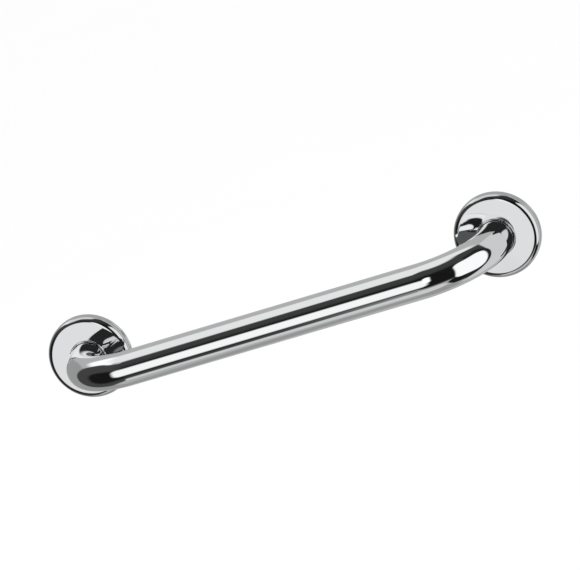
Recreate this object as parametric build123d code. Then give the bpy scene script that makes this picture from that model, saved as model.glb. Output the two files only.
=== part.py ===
from build123d import *
import math
import os

# A wall grab bar. One round tube is bent at both ends into legs. Each leg is welded
# into a flat plate that is screwed to the wall, and a pressed cover is pushed over the plate.
# X runs along the bar, Y points into the wall and Z points up.
# The origin lies on the wall, midway between the two feet. All sizes are in millimetres.

# The tube
foot_spacing = 400.0            # between the axes of the two legs
tube_diameter = 32.0            # the grip, outside
tube_wall = 1.5
bend_radius = 60.0              # of the tube's axis
leg_past_collar = 7.2           # straight tube between the cover's collar and the bend

# The plate that is screwed to the wall
plate_thickness = 3.0
plate_bore_clearance = 0.1      # all round the tube
tube_end_setback = 0.5          # the cut end stays this far off the wall
weld_leg = 3.0                  # height and width of the fillet weld
weld_crown = 0.35               # how far the weld's face bulges
weld_to_hole = 5.75             # flat land for the screw head, inside the hole
screw_hole_diameter = 6.5
screw_count = 3
first_hole_angle = 90.0         # degrees from the bar's direction, so one screw is on top
hole_to_edge = 6.35             # flat land outside the hole
plate_edge_chamfer = 0.4        # leads the cover on

# The pips on the plate's edge, which grip the inside of the cover's skirt
pip_count = 3
pip_radius = 2.5
pip_clearance = 0.05            # between a pip and the skirt

# The pressed cover
cover_edge_clearance = 0.5      # between the plate's edge and the skirt
cover_wall = 0.9
cover_depth = 11.5              # from the wall to the cover's face, beside the collar
face_fall = 1.0                 # how far the face falls from the collar to the skirt
rim_radius = 5.7                # outside, where the face turns down into the skirt
collar_clearance = 0.35         # all round the tube
collar_root_radius = 0.6        # outside, where the face turns up into the collar
collar_straight = 0.7           # the collar's height past that turn
lip_radius = 0.35               # on both edges of the collar's lip

# What follows from them
tube_radius = tube_diameter / 2
screw_hole_radius = screw_hole_diameter / 2
screw_circle_radius = tube_radius + weld_leg + weld_to_hole + screw_hole_radius
plate_radius = screw_circle_radius + screw_hole_radius + hole_to_edge
first_pip_angle = first_hole_angle + 180 / screw_count
skirt_inner_radius = plate_radius + cover_edge_clearance
cover_radius = skirt_inner_radius + cover_wall
collar_inner_radius = tube_radius + collar_clearance
collar_outer_radius = collar_inner_radius + cover_wall
collar_top = cover_depth + collar_root_radius + collar_straight
stand_off = collar_top + leg_past_collar + bend_radius


def foot_plane(side):
    """The wall at one foot, with its normal out along the leg and its y up the wall."""
    return Plane(
        origin=(side * foot_spacing / 2, 0, 0),
        x_dir=(1, 0, 0),
        z_dir=(0, -1, 0),
    )


def turned(profile):
    """Turn a profile of radius and distance from the wall once round the leg's axis."""
    return revolve(Plane.XZ * profile, Axis.Z)


def make_rail_tube():
    """The bent tube, open at both ends."""
    half = foot_spacing / 2
    path = FilletPolyline(
        (-half, -tube_end_setback),
        (-half, -stand_off),
        (half, -stand_off),
        (half, -tube_end_setback),
        radius=bend_radius,
    )
    section = Circle(tube_radius) - Circle(tube_radius - tube_wall)
    start = Plane(origin=path @ 0, z_dir=path % 0)
    return sweep(start * section, path=path)


def spaced_round(shape, count, first_angle):
    """Copies of a shape, evenly spaced round the leg's axis."""
    return [
        Rot(0, 0, first_angle + step * 360 / count) * shape
        for step in range(count)
    ]


def make_mounting_plate():
    """The round plate, with the tube's bore, the screw holes and the pips on its edge."""
    disc = Cylinder(
        plate_radius,
        plate_thickness,
        align=(Align.CENTER, Align.CENTER, Align.MIN),
    )
    rims = disc.edges().filter_by(GeomType.CIRCLE)
    disc = chamfer(rims, plate_edge_chamfer)
    pip = Cylinder(
        pip_radius,
        plate_thickness - 2 * plate_edge_chamfer,
        align=(Align.MAX, Align.CENTER, Align.CENTER),
    )
    pip = Pos(skirt_inner_radius - pip_clearance, 0, plate_thickness / 2) * pip
    bore = Cylinder(tube_radius + plate_bore_clearance, 3 * plate_thickness)
    hole = Pos(screw_circle_radius, 0, 0) * Cylinder(screw_hole_radius, 3 * plate_thickness)
    plate = disc + spaced_round(pip, pip_count, first_pip_angle)
    return plate - bore - spaced_round(hole, screw_count, first_hole_angle)


def make_weld_bead():
    """The fillet weld between the plate's face and the tube, with a slightly full face."""
    inner = (tube_radius, plate_thickness)
    toe = (tube_radius + weld_leg, plate_thickness)
    top = (tube_radius, plate_thickness + weld_leg)
    crown_out = weld_leg / 2 + weld_crown * math.cos(math.radians(45))
    crown = (tube_radius + crown_out, plate_thickness + crown_out)
    outline = Line(inner, toe) + ThreePointArc(toe, crown, top) + Line(top, inner)
    return turned(make_face(outline))


def make_cover():
    """The cover as pressed from one sheet: skirt, rounded rim, slightly coned face and collar."""
    skirt_top = cover_depth - face_fall
    corners = [
        (cover_radius, 0),
        (cover_radius, skirt_top),
        (collar_outer_radius, cover_depth),
        (collar_outer_radius, collar_top),
        (collar_inner_radius, collar_top),
        (collar_inner_radius, cover_depth - cover_wall),
        (skirt_inner_radius, skirt_top - cover_wall),
        (skirt_inner_radius, 0),
    ]
    roundings = [
        (1, rim_radius),
        (2, collar_root_radius),
        (3, lip_radius),
        (4, lip_radius),
        (5, collar_root_radius + cover_wall),
        (6, rim_radius - cover_wall),
    ]
    profile = Polygon(*corners, align=None)
    for index, radius in roundings:
        at = Vector(*corners[index])
        corner = profile.vertices().sort_by_distance(at)[0]
        profile = fillet(corner, radius)
    return turned(profile)


def save(name, shape):
    """Write one node."""
    shape.label = name
    export_step(shape, os.path.join("parts", name + ".step"))


os.makedirs("parts", exist_ok=True)
save("rail_tube", make_rail_tube())
for side_name, side in (("left", -1), ("right", 1)):
    foot = foot_plane(side)
    save(side_name + "_mounting_plate", foot * make_mounting_plate())
    save(side_name + "_weld_bead", foot * make_weld_bead())
    save(side_name + "_cover", foot * make_cover())
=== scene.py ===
"""Looks for a wall grab bar: a bent chrome tube on two round covers, in a white studio."""

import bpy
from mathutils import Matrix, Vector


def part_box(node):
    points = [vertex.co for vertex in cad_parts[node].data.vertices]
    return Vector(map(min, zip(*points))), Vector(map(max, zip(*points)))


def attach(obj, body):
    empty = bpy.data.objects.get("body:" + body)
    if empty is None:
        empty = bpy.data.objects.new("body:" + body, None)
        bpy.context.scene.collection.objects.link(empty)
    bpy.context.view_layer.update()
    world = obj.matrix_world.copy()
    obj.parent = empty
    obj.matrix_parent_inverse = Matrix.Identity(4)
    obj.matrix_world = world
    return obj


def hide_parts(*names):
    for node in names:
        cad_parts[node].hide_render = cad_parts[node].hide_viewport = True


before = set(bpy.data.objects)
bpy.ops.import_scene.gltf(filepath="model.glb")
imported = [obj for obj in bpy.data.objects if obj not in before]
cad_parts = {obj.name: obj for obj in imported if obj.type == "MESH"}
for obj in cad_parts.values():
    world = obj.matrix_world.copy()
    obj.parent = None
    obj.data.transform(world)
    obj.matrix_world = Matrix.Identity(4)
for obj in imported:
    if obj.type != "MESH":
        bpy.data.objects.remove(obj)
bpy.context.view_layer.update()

import math

import bmesh
import bpy
from bpy.props import FloatProperty, FloatVectorProperty, IntProperty, PointerProperty

bl_info = {
    "name": "Wall grab bar",
    "version": (1, 0, 0),
    "blender": (4, 5, 0),
    "location": "3D View > Sidebar > Grab bar",
    "description": "A chrome grab bar on two round wall covers, with its studio",
    "category": "Add Mesh",
}

MM = 0.001
SIDES = {"left": -1, "right": 1}

# How finely the meshes are made
SHARP_TURN = math.radians(40)   # an edge that turns more than this stays sharp
CORNER_STEPS = 20               # facets across each rounded corner of a cover
CROWN_STEPS = 12                # facets across the face of a weld
STEPS_PER_RIPPLE = 8            # facets round the tube for each ripple of a weld
FLAT_GUARD = 0.05 * MM          # from a turn to the points that keep the flat beside it flat
TURNED_MERGE = 0.001 * MM       # points of a turned piece that are nearer become one
SWEPT_MERGE = 0.002 * MM        # points of the bent tube that are nearer become one

# Sizes that the fixed frame already holds, in metres
TUBE_LOW, TUBE_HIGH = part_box("rail_tube")
COVER_LOW, COVER_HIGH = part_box("right_cover")
PLATE_LOW, PLATE_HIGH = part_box("right_mounting_plate")
TUBE_RADIUS = (TUBE_HIGH.z - TUBE_LOW.z) / 2
FOOT_SPACING = COVER_LOW.x + COVER_HIGH.x   # the right cover lies half of it from the middle


def linear(hex_colour):
    """Turn an sRGB hex colour into linear red, green and blue."""
    parts = [int(hex_colour[at:at + 2], 16) / 255 for at in (0, 2, 4)]
    return tuple(c / 12.92 if c <= 0.04045 else ((c + 0.055) / 1.055) ** 2.4 for c in parts)


def add(tree, kind, inputs=(), **settings):
    """Add a node with its settings. Each input, by order or by name, takes a value, the output
    of a node, a node for its first output, or a list of them."""
    node = tree.nodes.new(kind)
    for name, value in settings.items():
        setattr(node, name, value)
    for key, given in inputs.items() if isinstance(inputs, dict) else enumerate(inputs):
        for value in given if isinstance(given, list) else [given]:
            if isinstance(value, bpy.types.Node):
                value = value.outputs[0]
            if isinstance(value, bpy.types.NodeSocket):
                tree.links.new(value, node.inputs[key])
            else:
                node.inputs[key].default_value = value
    return node


# Sizes, finishes and studio

class TubeSizes(bpy.types.PropertyGroup):
    """The bent tube."""

    diameter: FloatProperty(
        name="Diameter",
        description="Outside diameter of the grip",
        default=2 * TUBE_RADIUS,
        unit="LENGTH",
    )
    wall: FloatProperty(
        name="Wall",
        description="Thickness of the tube's wall",
        default=1.5 * MM,
        unit="LENGTH",
    )
    bend_radius: FloatProperty(
        name="Bend radius",
        description="Radius of the tube's axis in each bend",
        default=60 * MM,
        unit="LENGTH",
    )
    foot_spacing: FloatProperty(
        name="Foot spacing",
        description="Distance between the axes of the two legs",
        default=FOOT_SPACING,
        unit="LENGTH",
    )
    stand_off: FloatProperty(
        name="Stand-off",
        description="Distance from the wall to the axis of the grip",
        default=-TUBE_LOW.y - TUBE_RADIUS,
        unit="LENGTH",
    )
    end_setback: FloatProperty(
        name="End setback",
        description="How far the cut ends stay off the wall",
        default=-TUBE_HIGH.y,
        unit="LENGTH",
    )
    bend_steps: IntProperty(
        name="Bend steps",
        description="Number of facets along each bend",
        default=96,
        min=8,
    )
    round_steps: IntProperty(
        name="Round steps",
        description="Number of facets round the tube, a multiple of four",
        default=144,
        min=16,
    )


class CoverSizes(bpy.types.PropertyGroup):
    """The pressed covers."""

    radius: FloatProperty(
        name="Radius",
        description="Outside radius of the skirt",
        default=(COVER_HIGH.z - COVER_LOW.z) / 2,
        unit="LENGTH",
    )
    face_height: FloatProperty(
        name="Face height",
        description="Distance from the wall to the face, beside the collar",
        default=11.5 * MM,
        unit="LENGTH",
    )
    face_fall: FloatProperty(
        name="Face fall",
        description="How far the face falls from the collar to the skirt",
        default=1.0 * MM,
        unit="LENGTH",
    )
    collar_height: FloatProperty(
        name="Collar height",
        description="Distance from the wall to the top of the collar",
        default=-COVER_LOW.y,
        unit="LENGTH",
    )
    wall: FloatProperty(
        name="Sheet",
        description="Thickness of the pressed sheet",
        default=0.9 * MM,
        unit="LENGTH",
    )
    rim_radius: FloatProperty(
        name="Rim radius",
        description="Outside radius where the face turns into the skirt",
        default=5.7 * MM,
        unit="LENGTH",
    )
    collar_clearance: FloatProperty(
        name="Collar clearance",
        description="Gap between the collar and the tube",
        default=0.35 * MM,
        unit="LENGTH",
    )
    collar_root: FloatProperty(
        name="Collar root",
        description="Outside radius where the face turns up into the collar",
        default=0.6 * MM,
        unit="LENGTH",
    )
    lip_radius: FloatProperty(
        name="Lip radius",
        description="Rounding of both edges of the collar's lip",
        default=0.35 * MM,
        unit="LENGTH",
    )
    turn_steps: IntProperty(
        name="Turn steps",
        description="Number of facets round the cover",
        default=288,
        min=16,
    )


class WeldSizes(bpy.types.PropertyGroup):
    """The weld beads between tube and plate."""

    leg: FloatProperty(
        name="Leg",
        description="Height and width of the fillet weld",
        default=3.0 * MM,
        unit="LENGTH",
    )
    crown: FloatProperty(
        name="Crown",
        description="How far the weld's face bulges",
        default=0.35 * MM,
        unit="LENGTH",
    )
    ripple_count: IntProperty(
        name="Ripples",
        description="Number of ripples round the tube",
        default=52,
        min=1,
    )
    ripple_depth: FloatProperty(
        name="Ripple depth",
        description="Depth of the groove between two ripples",
        default=0.3 * MM,
        unit="LENGTH",
    )


class Finishes(bpy.types.PropertyGroup):
    """Colours and polish."""

    tube_chrome: FloatVectorProperty(
        name="Tube chrome",
        description="Colour of the chrome on the buffed tube",
        default=linear("EAEBEC"),
        subtype="COLOR",
        min=0,
        max=1,
    )
    # Chrome darker than the tube's, which dims the covers' face to a light grey
    cover_chrome: FloatVectorProperty(
        name="Cover chrome",
        description="Colour of the darker chrome on the pressed covers",
        default=linear("D3D4D5"),
        subtype="COLOR",
        min=0,
        max=1,
    )
    plate: FloatVectorProperty(
        name="Plate steel",
        description="Colour of the pickled plate",
        default=linear("A9A8A4"),
        subtype="COLOR",
        min=0,
        max=1,
    )
    weld: FloatVectorProperty(
        name="Weld metal",
        description="Colour of the cleaned weld bead",
        default=linear("9D9892"),
        subtype="COLOR",
        min=0,
        max=1,
    )
    bore: FloatVectorProperty(
        name="Bore",
        description="Colour of the tube's unpolished inside",
        default=linear("7F7E7B"),
        subtype="COLOR",
        min=0,
        max=1,
    )
    polish: FloatProperty(
        name="Polish",
        description="Roughness left by the last buffing",
        default=0.03,
        subtype="FACTOR",
        min=0,
        max=1,
    )


class Studio(bpy.types.PropertyGroup):
    """Camera, light and floor. The camera comes from a fit to the photograph's outline."""

    camera_place: FloatVectorProperty(
        name="Camera place",
        description="Where the camera stands",
        default=(1.20619, -3.59711, 0.96758),
        subtype="TRANSLATION",
        unit="LENGTH",
    )
    camera_turn: FloatVectorProperty(
        name="Camera turn",
        description="How the camera is turned",
        default=tuple(math.radians(turn) for turn in (74.826, 20.6502, 13.0481)),
        subtype="EULER",
        unit="ROTATION",
    )
    camera_lens: FloatProperty(
        name="Lens",
        description="Focal length in millimetres",
        default=270.811,
        unit="CAMERA",
    )
    floor_reach: FloatProperty(
        name="Floor reach",
        description="How far the floor runs to each side",
        default=12.0,
        unit="LENGTH",
    )
    floor_drop: FloatProperty(
        name="Floor drop",
        description="How far the floor lies below the bar",
        default=0.6,
        unit="LENGTH",
    )
    floor_colour: FloatVectorProperty(
        name="Floor",
        description="Colour of the studio floor",
        default=linear("FDFDFD"),
        subtype="COLOR",
        min=0,
        max=1,
    )
    room_light: FloatProperty(
        name="Room light",
        description="Brightness of the white room",
        default=1.0,
        min=0,
    )
    key_power: FloatProperty(
        name="Key power",
        description="Power of the large soft lamp",
        default=14.0,
        unit="POWER",
        min=0,
    )
    key_size: FloatProperty(
        name="Key size",
        description="Width and height of the large soft lamp",
        default=1.6,
        unit="LENGTH",
    )
    key_place: FloatVectorProperty(
        name="Key place",
        description="Where the large soft lamp hangs",
        default=(0.8, -1.8, 1.9),
        subtype="TRANSLATION",
        unit="LENGTH",
    )
    key_turn: FloatVectorProperty(
        name="Key turn",
        description="How the large soft lamp is turned",
        default=tuple(math.radians(turn) for turn in (43, 0, 24)),
        subtype="EULER",
        unit="ROTATION",
    )


# The softboxes and black cards that the chrome mirrors, and the level of the room behind them.
# For each: the left, right, low and high edge, the corner's radius, the soft edge and the level.
# All but the level are in degrees. Bearing 0 is straight out from the wall and 90 is to the
# right, and a height of 90 is overhead. A card lies over those before it.
# The numbers of both lists come from a least-squares fit to the photograph's reflections, by a
# script that isn't kept, and were rounded afterwards. They weren't set out by hand.
ROOM_LEVEL = 0.5
CARDS = {
    "floor": (-180, 180, -90, -70, 1, 6, 0.3),
    "ceiling": (-180, 180, 60, 120, 1, 15, 1.2),
    "left_wall": (-150, -80, -70, 30, 30, 4, 0.35),
    "left_ceiling": (-140, -60, 40, 60, 15, 10, 1.2),
    "left_room": (-105, -20, -57, 52, 25, 5, 0.06),
    "left_room_core": (-80, -20, -40, 20, 20, 10, 0.01),
    "upper_dark": (-40, 130, 0, 75, 15, 10, 0.05),
    "front_dark": (-30, 70, -40, 40, 30, 15, 0.01),
    "low_dark": (25, 105, -72, -30, 35, 5, 0.01),
    "right_wall": (100, 160, -80, 52, 35, 3, 0.7),
    "right_wall_slot": (145, 155, -40, 35, 1, 2, 0.01),
    "right_slot": (65, 100, -70, 50, 1, 2, 0.02),
    "right_box": (40, 93, -45, 35, 15, 4, 1.15),
    "front_box": (-40, 0, -23, 17, 10, 8, 1.1),
    "front_box_corner": (-5, 5, -5, 25, 5, 5, 1.4),
    "front_floor": (-50, 35, -70, -45, 30, 5, 0.7),
}

# What a bend or a leg shows again in the cover beside it. No real room changes between the first
# reflection and the next. This stands in for cards that hang close to the bar.
GAP_LEVEL = 0.03
GAP_CARDS = {
    "gap_left_floor": (-180, 0, -80, 0, 25, 5, 0.15),
    "gap_top_box": (-105, -20, 10, 70, 5, 5, 1.4),
    "gap_left_black": (-125, -35, -10, 45, 35, 5, 0.02),
    "gap_left_box": (-150, -80, 5, 30, 15, 5, 1.5),
    "gap_front_box": (-45, 15, -23, 17, 30, 7, 1.2),
    "gap_right_floor": (10, 70, -80, -40, 30, 15, 0.3),
    "gap_right_box": (25, 125, -13, 23, 30, 5, 1.1),
}

# A ray's first reflection has a glossy depth of 1, and the next one has 2
FIRST_REFLECTION_ONLY = 1.5

SENSOR_WIDTH = 36               # of the camera, in millimetres
CAMERA_SIGHT = 100              # how far the camera sees, in metres


# Finishes

def new_material(name):
    """A material with its tree emptied, and the tree."""
    material = bpy.data.materials.new(name)
    material.use_nodes = True
    material.node_tree.nodes.clear()
    return material, material.node_tree


def bright_chrome(name, colour, polish, wave, wave_height):
    """Decorative chrome plated on buffed steel. The eye gets a mirror with the slow waviness
    that buffing leaves, and a breath of haze where the buff was worn."""
    haze_patch = 9 * MM
    material, tree = new_material(name)
    place = add(tree, "ShaderNodeTexCoord").outputs["Object"]
    haze = add(tree, "ShaderNodeTexNoise", {
        "Vector": place,
        "Scale": 1 / haze_patch,
        "Detail": 4,
        "Roughness": 0.6,
    })
    roughness = add(tree, "ShaderNodeMapRange", {
        "Value": haze,
        "From Min": 0.35,
        "From Max": 0.75,
        "To Min": 0.6 * polish,
        "To Max": 1.5 * polish,
    })
    slow = add(tree, "ShaderNodeTexNoise", {
        "Vector": place,
        "Scale": 1 / wave,
        "Detail": 1,
        "Roughness": 0.3,
    })
    relief = add(tree, "ShaderNodeBump", {"Height": slow, "Strength": 1, "Distance": wave_height})
    shader = add(tree, "ShaderNodeBsdfPrincipled", {
        "Base Color": (*colour, 1),
        "Metallic": 1,
        "Roughness": roughness,
        "Normal": relief,
    })
    add(tree, "ShaderNodeOutputMaterial", {"Surface": shader})
    return material


def pickled_steel(name, colour):
    """Stainless plate, hot rolled and pickled. It looks pale grey and dull, a little cloudy,
    with faint rolling lines. The lines are drawn 0.5 mm apart so that they show."""
    line_length = 14 * MM
    line_spacing = 0.5 * MM
    line_depth = 0.012 * MM
    cloud = 6 * MM
    material, tree = new_material(name)
    place = add(tree, "ShaderNodeTexCoord").outputs["Object"]
    along = add(tree, "ShaderNodeMapping", {
        "Vector": place,
        "Scale": (1 / line_length, 1 / line_spacing, 1 / line_spacing),
    })
    lines = add(tree, "ShaderNodeTexNoise", {
        "Vector": along,
        "Scale": 1,
        "Detail": 3,
        "Roughness": 0.55,
    })
    bloom = add(tree, "ShaderNodeTexNoise", {"Vector": place, "Scale": 1 / cloud, "Detail": 3})
    shade = add(tree, "ShaderNodeMix", data_type="RGBA", inputs={
        "Factor": bloom,
        "A": (*(0.8 * c for c in colour), 1),
        "B": (*colour, 1),
    })
    roughness = add(tree, "ShaderNodeMapRange", {
        "Value": lines,
        "From Min": 0.3,
        "From Max": 0.7,
        "To Min": 0.34,
        "To Max": 0.5,
    })
    relief = add(tree, "ShaderNodeBump", {"Height": lines, "Strength": 1, "Distance": line_depth})
    shader = add(tree, "ShaderNodeBsdfPrincipled", {
        "Base Color": shade.outputs["Result"],
        "Metallic": 1,
        "Roughness": roughness,
        "Normal": relief,
    })
    add(tree, "ShaderNodeOutputMaterial", {"Surface": shader})
    return material


def unpolished_steel(name, colour, grain, pit_depth, dullest):
    """Bare steel that was only brushed or drawn. It looks satin grey, and darker in its pits."""
    material, tree = new_material(name)
    place = add(tree, "ShaderNodeTexCoord").outputs["Object"]
    pits = add(tree, "ShaderNodeTexNoise", {
        "Vector": place,
        "Scale": 1 / grain,
        "Detail": 4,
        "Roughness": 0.65,
    })
    shade = add(tree, "ShaderNodeMix", data_type="RGBA", inputs={
        "Factor": pits,
        "A": (*(0.7 * c for c in colour), 1),
        "B": (*colour, 1),
    })
    roughness = add(tree, "ShaderNodeMapRange", {
        "Value": pits,
        "From Min": 0.3,
        "From Max": 0.7,
        "To Min": dullest,
        "To Max": 0.6 * dullest,
    })
    relief = add(tree, "ShaderNodeBump", {"Height": pits, "Strength": 1, "Distance": pit_depth})
    shader = add(tree, "ShaderNodeBsdfPrincipled", {
        "Base Color": shade.outputs["Result"],
        "Metallic": 1,
        "Roughness": roughness,
        "Normal": relief,
    })
    add(tree, "ShaderNodeOutputMaterial", {"Surface": shader})
    return material


def matt_floor_paint(name, colour):
    """Matt studio paint, rolled on: even and white, with a very soft mottle."""
    mottle_patch = 0.25
    material, tree = new_material(name)
    place = add(tree, "ShaderNodeTexCoord").outputs["Object"]
    mottle = add(tree, "ShaderNodeTexNoise", {
        "Vector": place,
        "Scale": 1 / mottle_patch,
        "Detail": 2,
    })
    shade = add(tree, "ShaderNodeMix", data_type="RGBA", inputs={
        "Factor": mottle,
        "A": (*(0.99 * c for c in colour), 1),
        "B": (*colour, 1),
    })
    shader = add(tree, "ShaderNodeBsdfDiffuse", {"Color": shade.outputs["Result"]})
    add(tree, "ShaderNodeOutputMaterial", {"Surface": shader})
    return material


# Shapes

def unit(x, y):
    """The direction of a flat vector, one long."""
    length = math.hypot(x, y)
    return x / length, y / length


def moved(point, direction, distance):
    """A flat point, moved this far in a direction."""
    return point[0] + distance * direction[0], point[1] + distance * direction[1]


def on_circle(centre, radius, angle):
    """The point of a flat circle at this angle."""
    return centre[0] + radius * math.cos(angle), centre[1] + radius * math.sin(angle)


def rounded(corners, roundings, steps, guard):
    """Points of a closed outline in which some corners are rounded. Points a guard's length
    beside each turn keep the flats flat under smooth shading."""
    points = []
    count = len(corners)
    for index, corner in enumerate(corners):
        radius = roundings.get(index, 0)
        before = corners[index - 1]
        after = corners[(index + 1) % count]
        to_before = unit(before[0] - corner[0], before[1] - corner[1])
        to_after = unit(after[0] - corner[0], after[1] - corner[1])
        opening = math.acos(to_before[0] * to_after[0] + to_before[1] * to_after[1])
        reach = radius / math.tan(opening / 2)
        points.append(moved(corner, to_before, reach + guard))
        if radius:
            inward = unit(to_before[0] + to_after[0], to_before[1] + to_after[1])
            centre = moved(corner, inward, radius / math.sin(opening / 2))
            first, last = (
                math.atan2(touch[1] - centre[1], touch[0] - centre[0])
                for touch in (moved(corner, to_before, reach), moved(corner, to_after, reach))
            )
            turn = (last - first + math.pi) % (2 * math.pi) - math.pi
            for step in range(steps + 1):
                points.append(on_circle(centre, radius, first + turn * step / steps))
        else:
            points.append(corner)
        points.append(moved(corner, to_after, reach + guard))
    return points


def turned(name, outline, axis_x, steps):
    """Turn a closed outline of radius and height off the wall once round a leg's axis."""
    mesh = bpy.data.meshes.new(name)
    shape = bmesh.new()
    rings = []
    for radius, height in outline:
        rings.append([
            shape.verts.new((
                axis_x + radius * math.cos(2 * math.pi * step / steps),
                -height,
                radius * math.sin(2 * math.pi * step / steps),
            ))
            for step in range(steps)
        ])
    for index, ring in enumerate(rings):
        following = rings[(index + 1) % len(rings)]
        for step in range(steps):
            beside = (step + 1) % steps
            shape.faces.new((ring[step], ring[beside], following[beside], following[step]))
    bmesh.ops.remove_doubles(shape, verts=shape.verts, dist=TURNED_MERGE)
    bmesh.ops.recalc_face_normals(shape, faces=shape.faces)
    shape.to_mesh(mesh)
    shape.free()
    mesh.shade_smooth()
    mesh.set_sharp_from_angle(angle=SHARP_TURN)
    piece = bpy.data.objects.new(name, mesh)
    bpy.context.collection.objects.link(piece)
    return piece


def with_tree(piece, tree, values):
    """Run a node tree on a piece with these inputs, and keep the result as its plain mesh."""
    modifier = piece.modifiers.new(tree.name, "NODES")
    modifier.node_group = tree
    sockets = {
        item.name: item.identifier
        for item in tree.interface.items_tree
        if item.item_type == "SOCKET" and item.in_out == "INPUT"
    }
    for name, value in values.items():
        modifier[sockets[name]] = value
    graph = bpy.context.evaluated_depsgraph_get()
    made = bpy.data.meshes.new_from_object(piece.evaluated_get(graph))
    piece.modifiers.remove(modifier)
    # A mesh that starts without a material gives its result an empty first slot
    if made.materials[0] is None:
        made.materials.pop(index=0)
    piece.data = made
    made.name = piece.name
    return piece


def new_tree(name, inputs):
    """A geometry tree with these named inputs, and the outputs of its input node."""
    tree = bpy.data.node_groups.new(name, "GeometryNodeTree")
    tree.interface.new_socket("Geometry", in_out="INPUT", socket_type="NodeSocketGeometry")
    for label, kind in inputs.items():
        tree.interface.new_socket(label, in_out="INPUT", socket_type="NodeSocket" + kind)
    tree.interface.new_socket("Geometry", in_out="OUTPUT", socket_type="NodeSocketGeometry")
    return tree, add(tree, "NodeGroupInput").outputs


def bent_tube_tree():
    """A tree that runs a tube along a line of straight stretches and bends each corner."""
    tree, start = new_tree("Bent tube", {
        "Bend radius": "Float",
        "Radius": "Float",
        "Wall": "Float",
        "Bend steps": "Int",
        "Round steps": "Int",
        "Outside": "Material",
        "Inside": "Material",
    })
    line = add(tree, "GeometryNodeMeshToCurve", {"Mesh": start["Geometry"]})
    path = add(tree, "GeometryNodeFilletCurve", mode="POLY", inputs={
        "Curve": line,
        "Count": start["Bend steps"],
        "Radius": start["Bend radius"],
    })
    bore_radius = add(
        tree, "ShaderNodeMath", (start["Radius"], start["Wall"]), operation="SUBTRACT"
    )
    circles = []
    shells = []
    for radius in (start["Radius"], bore_radius):
        circle = add(tree, "GeometryNodeCurvePrimitiveCircle", {
            "Resolution": start["Round steps"],
            "Radius": radius,
        })
        circles.append(circle)
        shells.append(add(tree, "GeometryNodeCurveToMesh", {
            "Curve": path,
            "Profile Curve": circle,
        }))
    outside, bore = shells
    bore = add(tree, "GeometryNodeFlipFaces", {"Mesh": bore})

    # The cut ends: a flat ring at each end of the path, facing the wall
    circles = add(tree, "GeometryNodeJoinGeometry", (circles,))
    ring = add(tree, "GeometryNodeFillCurve", {"Curve": circles})
    rings = add(tree, "GeometryNodeInstanceOnPoints", {
        "Points": path,
        "Selection": add(tree, "GeometryNodeCurveEndpointSelection"),
        "Instance": ring,
        "Rotation": (-math.pi / 2, 0, 0),
    })
    raw = add(tree, "GeometryNodeCaptureAttribute", domain="FACE", inputs={
        "Geometry": add(tree, "GeometryNodeJoinGeometry", ([bore, rings],)),
    })
    raw.capture_items.new("BOOLEAN", "Raw")
    raw.inputs["Raw"].default_value = True
    whole = add(tree, "GeometryNodeJoinGeometry", ([outside, raw],))
    real = add(tree, "GeometryNodeRealizeInstances", (whole,))
    welded = add(tree, "GeometryNodeMergeByDistance", {"Geometry": real, "Distance": SWEPT_MERGE})
    plated = add(tree, "GeometryNodeSetMaterial", {
        "Geometry": welded,
        "Material": start["Outside"],
    })
    finished = add(tree, "GeometryNodeSetMaterial", {
        "Geometry": plated,
        "Selection": raw.outputs["Raw"],
        "Material": start["Inside"],
    })
    add(tree, "NodeGroupOutput", (finished,))
    return tree


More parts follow.
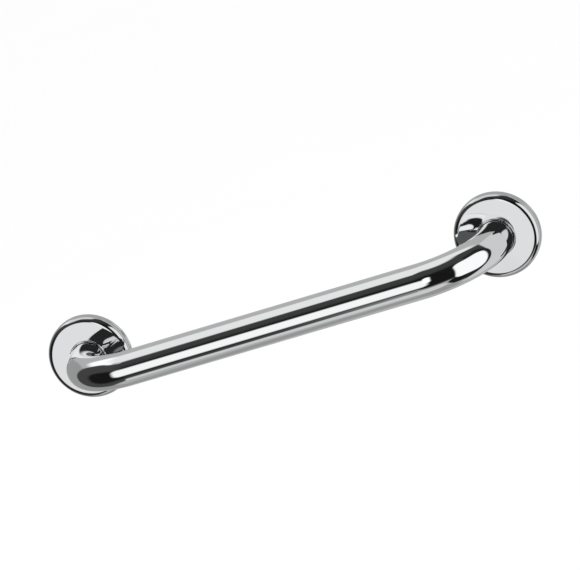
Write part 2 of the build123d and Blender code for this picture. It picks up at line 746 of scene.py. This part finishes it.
def weld_ripple_tree():
    """A tree that presses evenly spaced ripples into the face of a weld bead."""
    groove_power = 3    # how steeply each ripple drops at its end
    edge_on = 0.2       # a face turned less than this to a direction counts as a side
    tree, start = new_tree("Weld ripples", {
        "Axis": "Vector",
        "Count": "Int",
        "Depth": "Float",
        "Finish": "Material",
    })

    # Where a point lies round the leg, as a share of the ripple that it is in
    place = add(tree, "GeometryNodeInputPosition")
    off_axis = add(tree, "ShaderNodeVectorMath", (place, start["Axis"]), operation="SUBTRACT")
    spoke = add(tree, "ShaderNodeVectorMath", (off_axis, (1, 0, 1)), operation="MULTIPLY")
    across = add(tree, "ShaderNodeSeparateXYZ", (spoke,)).outputs
    angle = add(tree, "ShaderNodeMath", (across["Z"], across["X"]), operation="ARCTAN2")
    turns = add(tree, "ShaderNodeMath", (angle, 2 * math.pi), operation="DIVIDE")
    ripples = add(tree, "ShaderNodeMath", (turns, start["Count"]), operation="MULTIPLY")
    share = add(tree, "ShaderNodeMath", (ripples,), operation="FRACT")
    groove = add(tree, "ShaderNodeMath", (share, groove_power), operation="POWER")

    # Only the open face is pressed in, not the sides on the tube and the plate
    normal = add(tree, "GeometryNodeInputNormal")
    outward = add(tree, "ShaderNodeVectorMath", (spoke,), operation="NORMALIZE")
    facing = add(tree, "ShaderNodeVectorMath", (normal, outward), operation="DOT_PRODUCT")
    off_tube = add(
        tree, "ShaderNodeMath", (facing.outputs["Value"], edge_on), operation="GREATER_THAN"
    )
    depthwise = add(tree, "ShaderNodeSeparateXYZ", (normal,)).outputs["Y"]
    off_plate = add(tree, "ShaderNodeMath", (depthwise, -edge_on), operation="LESS_THAN")
    open_face = add(tree, "ShaderNodeMath", (off_tube, off_plate), operation="MULTIPLY")
    sunk = add(tree, "ShaderNodeMath", (groove, start["Depth"]), operation="MULTIPLY")
    shift = add(tree, "ShaderNodeMath", (sunk, open_face), operation="MULTIPLY")
    inward = add(tree, "ShaderNodeVectorMath", (normal, (-1, -1, -1)), operation="MULTIPLY")
    offset = add(tree, "ShaderNodeVectorMath", {0: inward, "Scale": shift}, operation="SCALE")
    pressed = add(tree, "GeometryNodeSetPosition", {
        "Geometry": start["Geometry"],
        "Offset": offset,
    })
    real = add(tree, "GeometryNodeRealizeInstances", (pressed,))
    finished = add(tree, "GeometryNodeSetMaterial", {
        "Geometry": real,
        "Material": start["Finish"],
    })
    add(tree, "NodeGroupOutput", (finished,))
    return tree


# Operators

class GRABBAR_OT_tube(bpy.types.Operator):
    """Make the bent chrome tube"""

    bl_idname = "grab_bar.tube"
    bl_label = "Bent tube"

    def execute(self, context):
        sizes = context.scene.grab_bar_tube
        finishes = context.scene.grab_bar_finishes
        half = sizes.foot_spacing / 2
        line = bpy.data.meshes.new("grip_tube")
        line.from_pydata(
            [
                (-half, -sizes.end_setback, 0),
                (-half, -sizes.stand_off, 0),
                (half, -sizes.stand_off, 0),
                (half, -sizes.end_setback, 0),
            ],
            [(0, 1), (1, 2), (2, 3)],
            [],
        )
        piece = bpy.data.objects.new("grip_tube", line)
        context.collection.objects.link(piece)
        with_tree(piece, bent_tube_tree(), {
            "Bend radius": sizes.bend_radius,
            "Radius": sizes.diameter / 2,
            "Wall": sizes.wall,
            "Bend steps": sizes.bend_steps,
            "Round steps": sizes.round_steps,
            "Outside": bright_chrome(
                "chrome_on_buffed_tube",
                finishes.tube_chrome,
                finishes.polish,
                wave=22 * MM,
                wave_height=0.003 * MM,
            ),
            "Inside": unpolished_steel(
                "drawn_steel_bore",
                finishes.bore,
                grain=1.5 * MM,
                pit_depth=0.01 * MM,
                dullest=0.6,
            ),
        })
        piece.data.shade_smooth()
        piece.data.set_sharp_from_angle(angle=SHARP_TURN)
        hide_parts("rail_tube")
        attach(piece, "root")
        return {"FINISHED"}


class GRABBAR_OT_covers(bpy.types.Operator):
    """Make the two pressed chrome covers"""

    bl_idname = "grab_bar.covers"
    bl_label = "Pressed covers"

    def execute(self, context):
        sizes = context.scene.grab_bar_covers
        tube = context.scene.grab_bar_tube
        finishes = context.scene.grab_bar_finishes
        inner = tube.diameter / 2 + sizes.collar_clearance
        outer = inner + sizes.wall
        skirt_top = sizes.face_height - sizes.face_fall
        corners = (
            (sizes.radius, 0),
            (sizes.radius, skirt_top),
            (outer, sizes.face_height),
            (outer, sizes.collar_height),
            (inner, sizes.collar_height),
            (inner, sizes.face_height - sizes.wall),
            (sizes.radius - sizes.wall, skirt_top - sizes.wall),
            (sizes.radius - sizes.wall, 0),
        )
        roundings = {
            1: sizes.rim_radius,
            2: sizes.collar_root,
            3: sizes.lip_radius,
            4: sizes.lip_radius,
            5: sizes.collar_root + sizes.wall,
            6: sizes.rim_radius - sizes.wall,
        }
        outline = rounded(corners, roundings, CORNER_STEPS, FLAT_GUARD)
        finish = bright_chrome(
            "chrome_on_pressed_sheet",
            finishes.cover_chrome,
            finishes.polish,
            wave=16 * MM,
            wave_height=0.002 * MM,
        )
        for name, side in SIDES.items():
            axis_x = side * tube.foot_spacing / 2
            piece = turned(name + "_pressed_cover", outline, axis_x, sizes.turn_steps)
            piece.data.materials.append(finish)
            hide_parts(name + "_cover")
            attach(piece, "root")
        return {"FINISHED"}


class GRABBAR_OT_welds(bpy.types.Operator):
    """Make the two rippled weld beads"""

    bl_idname = "grab_bar.welds"
    bl_label = "Weld beads"

    def execute(self, context):
        sizes = context.scene.grab_bar_welds
        tube = context.scene.grab_bar_tube
        finish = unpolished_steel(
            "wire_brushed_weld_metal",
            context.scene.grab_bar_finishes.weld,
            grain=0.7 * MM,
            pit_depth=0.02 * MM,
            dullest=0.46,
        )
        foot = tube.diameter / 2
        seat = PLATE_HIGH.y - PLATE_LOW.y

        # The face is an arc through both toes, and bulges off their chord by the crown
        chord = sizes.leg * math.sqrt(2)
        swell = (chord ** 2 / 4 + sizes.crown ** 2) / (2 * sizes.crown)
        half = math.asin(chord / 2 / swell)
        back = (swell - sizes.crown) / math.sqrt(2)
        centre = (foot + sizes.leg / 2 - back, seat + sizes.leg / 2 - back)
        outline = [(foot, seat)]
        for step in range(CROWN_STEPS + 1):
            angle = math.pi / 4 - half + 2 * half * step / CROWN_STEPS
            outline.append(on_circle(centre, swell, angle))

        tree = weld_ripple_tree()
        for name, side in SIDES.items():
            axis_x = side * tube.foot_spacing / 2
            steps = STEPS_PER_RIPPLE * sizes.ripple_count
            piece = turned(name + "_rippled_weld", outline, axis_x, steps)
            with_tree(piece, tree, {
                "Axis": (axis_x, 0, 0),
                "Count": sizes.ripple_count,
                "Depth": sizes.ripple_depth,
                "Finish": finish,
            })
            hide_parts(name + "_weld_bead")
            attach(piece, "root")
        return {"FINISHED"}


class GRABBAR_OT_plates(bpy.types.Operator):
    """Finish the two mounting plates"""

    bl_idname = "grab_bar.plates"
    bl_label = "Mounting plates"

    def execute(self, context):
        finish = pickled_steel("pickled_steel_plate", context.scene.grab_bar_finishes.plate)
        for name in SIDES:
            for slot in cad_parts[name + "_mounting_plate"].material_slots:
                slot.material = finish
        return {"FINISHED"}


def card_group():
    """A node group that lays one soft-edged card over the level below it at a direction."""
    tree = bpy.data.node_groups.new("Studio card", "ShaderNodeTree")
    inputs = {
        "Below": "Float",
        "Direction": "Vector",
        "Middle": "Vector",
        "Straight half": "Vector",
        "Full": "Float",
        "Gone": "Float",
        "Level": "Float",
    }
    for label, kind in inputs.items():
        tree.interface.new_socket(label, in_out="INPUT", socket_type="NodeSocket" + kind)
    tree.interface.new_socket("Level", in_out="OUTPUT", socket_type="NodeSocketFloat")
    start = add(tree, "NodeGroupInput").outputs
    away = add(
        tree, "ShaderNodeVectorMath", (start["Direction"], start["Middle"]), operation="SUBTRACT"
    )
    # The shorter way round, so that a card may lie across the back
    near = add(tree, "ShaderNodeVectorMath", (away, (180,) * 3, (-180,) * 3), operation="WRAP")
    size = add(tree, "ShaderNodeVectorMath", (near,), operation="ABSOLUTE")
    past = add(
        tree, "ShaderNodeVectorMath", (size, start["Straight half"]), operation="SUBTRACT"
    )
    outside = add(tree, "ShaderNodeVectorMath", (past, (0, 0, 0)), operation="MAXIMUM")
    far = add(tree, "ShaderNodeVectorMath", (outside,), operation="LENGTH")
    share = add(tree, "ShaderNodeMapRange", interpolation_type="SMOOTHSTEP", inputs={
        "Value": far.outputs["Value"],
        "From Min": start["Full"],
        "From Max": start["Gone"],
        "To Min": 1,
        "To Max": 0,
    })
    mixed = add(tree, "ShaderNodeMix", {
        "Factor": share,
        "A": start["Below"],
        "B": start["Level"],
    })
    add(tree, "NodeGroupOutput", (mixed,))
    return tree


class GRABBAR_OT_studio(bpy.types.Operator):
    """Set up the floor, the light and the camera"""

    bl_idname = "grab_bar.studio"
    bl_label = "Studio"

    def execute(self, context):
        studio = context.scene.grab_bar_studio
        self.make_dome(context.scene, studio)
        self.make_floor(context, studio)
        self.make_camera(context, studio)
        context.scene.view_settings.view_transform = "Standard"
        return {"FINISHED"}

    def make_dome(self, scene, studio):
        """A white room. Only what mirrors it sees its softboxes and black cards."""
        world = bpy.data.worlds.new("white_studio_room")
        world.use_nodes = True
        scene.world = world
        tree = world.node_tree
        tree.nodes.clear()
        toward = add(tree, "ShaderNodeTexCoord").outputs["Generated"]
        axes = add(tree, "ShaderNodeSeparateXYZ", (toward,)).outputs
        out = add(tree, "ShaderNodeMath", (axes["Y"], -1), operation="MULTIPLY")
        bearing = add(tree, "ShaderNodeMath", (axes["X"], out), operation="ARCTAN2")
        height = add(tree, "ShaderNodeMath", (axes["Z"],), operation="ARCSINE")
        angles = add(tree, "ShaderNodeCombineXYZ", (bearing, height))
        direction = add(
            tree, "ShaderNodeVectorMath", {0: angles, "Scale": math.degrees(1)}, operation="SCALE"
        )
        group = card_group()
        levels = []
        for level, cards in ((ROOM_LEVEL, CARDS), (GAP_LEVEL, GAP_CARDS)):
            for name, (left, right, low, high, corner, soft, value) in cards.items():
                level = add(tree, "ShaderNodeGroup", node_tree=group, label=name, inputs={
                    "Below": level,
                    "Direction": direction,
                    "Middle": ((left + right) / 2, (low + high) / 2, 0),
                    "Straight half": ((right - left) / 2 - corner, (high - low) / 2 - corner, 0),
                    "Full": corner - soft / 2,
                    "Gone": corner + soft / 2,
                    "Level": value,
                })
            levels.append(level)
        ray = add(tree, "ShaderNodeLightPath").outputs
        again = add(
            tree,
            "ShaderNodeMath",
            (ray["Glossy Depth"], FIRST_REFLECTION_ONLY),
            operation="GREATER_THAN",
        )
        mirrored = add(tree, "ShaderNodeMix", {"Factor": again, "A": levels[0], "B": levels[1]})
        lit = add(tree, "ShaderNodeMix", {
            "Factor": ray["Is Glossy Ray"],
            "A": studio.room_light,
            "B": mirrored,
        })
        seen = add(tree, "ShaderNodeMix", {"Factor": ray["Is Camera Ray"], "A": lit, "B": 1})
        sky = add(tree, "ShaderNodeBackground", {"Color": (1, 1, 1, 1), "Strength": seen})
        add(tree, "ShaderNodeOutputWorld", (sky,))

    def make_floor(self, context, studio):
        """A wide matt floor under the bar and one large soft lamp over it."""
        mesh = bpy.data.meshes.new("studio_floor")
        shape = bmesh.new()
        bmesh.ops.create_grid(shape, x_segments=1, y_segments=1, size=studio.floor_reach)
        bmesh.ops.translate(shape, verts=shape.verts, vec=(0, 0, -studio.floor_drop))
        shape.to_mesh(mesh)
        shape.free()
        mesh.materials.append(matt_floor_paint("matt_white_floor_paint", studio.floor_colour))
        floor = bpy.data.objects.new("studio_floor", mesh)
        context.collection.objects.link(floor)
        floor.visible_glossy = False
        lamp = bpy.data.lights.new("key_softbox", "AREA")
        lamp.shape = "SQUARE"
        lamp.size = studio.key_size
        lamp.energy = studio.key_power
        key = bpy.data.objects.new("key_softbox", lamp)
        key.location = studio.key_place
        key.rotation_euler = studio.key_turn
        key.visible_glossy = False
        context.collection.objects.link(key)

    def make_camera(self, context, studio):
        """A long lens at the height and side of the photograph."""
        lens = bpy.data.cameras.new("studio_camera")
        lens.sensor_fit = "HORIZONTAL"
        lens.sensor_width = SENSOR_WIDTH
        lens.lens = studio.camera_lens
        lens.clip_end = CAMERA_SIGHT
        camera = bpy.data.objects.new("studio_camera", lens)
        camera.location = studio.camera_place
        camera.rotation_euler = studio.camera_turn
        context.collection.objects.link(camera)
        context.scene.camera = camera


class GRABBAR_PT_sidebar(bpy.types.Panel):
    """Lists the grab bar's sizes, finishes and pieces."""

    bl_idname = "GRABBAR_PT_sidebar"
    bl_label = "Grab bar"
    bl_space_type = "VIEW_3D"
    bl_region_type = "UI"
    bl_category = "Grab bar"

    def draw(self, context):
        layout = self.layout
        for name, (group, operators) in PANEL.items():
            box = layout.box()
            box.label(text=name)
            settings = getattr(context.scene, group)
            for key in settings.bl_rna.properties.keys():
                if key not in ("rna_type", "name"):
                    box.prop(settings, key)
            for operator in operators:
                box.operator(operator)


PANEL = {
    "Tube": ("grab_bar_tube", ("grab_bar.tube",)),
    "Covers": ("grab_bar_covers", ("grab_bar.covers",)),
    "Welds": ("grab_bar_welds", ("grab_bar.welds",)),
    "Finishes": ("grab_bar_finishes", ("grab_bar.plates",)),
    "Studio": ("grab_bar_studio", ("grab_bar.studio",)),
}
GROUPS = {
    "grab_bar_tube": TubeSizes,
    "grab_bar_covers": CoverSizes,
    "grab_bar_welds": WeldSizes,
    "grab_bar_finishes": Finishes,
    "grab_bar_studio": Studio,
}
CLASSES = (
    *GROUPS.values(),
    GRABBAR_OT_tube,
    GRABBAR_OT_covers,
    GRABBAR_OT_welds,
    GRABBAR_OT_plates,
    GRABBAR_OT_studio,
    GRABBAR_PT_sidebar,
)


def register():
    """Add the classes and the scene's settings."""
    for item in CLASSES:
        bpy.utils.register_class(item)
    for name, group in GROUPS.items():
        setattr(bpy.types.Scene, name, PointerProperty(type=group))


def unregister():
    """Take away the scene's settings and the classes."""
    for name in GROUPS:
        delattr(bpy.types.Scene, name)
    for item in reversed(CLASSES):
        bpy.utils.unregister_class(item)


def main():
    """Make every piece and the studio."""
    register()
    bpy.ops.grab_bar.tube()
    bpy.ops.grab_bar.covers()
    bpy.ops.grab_bar.welds()
    bpy.ops.grab_bar.plates()
    bpy.ops.grab_bar.studio()


if __name__ == "__main__":
    main()
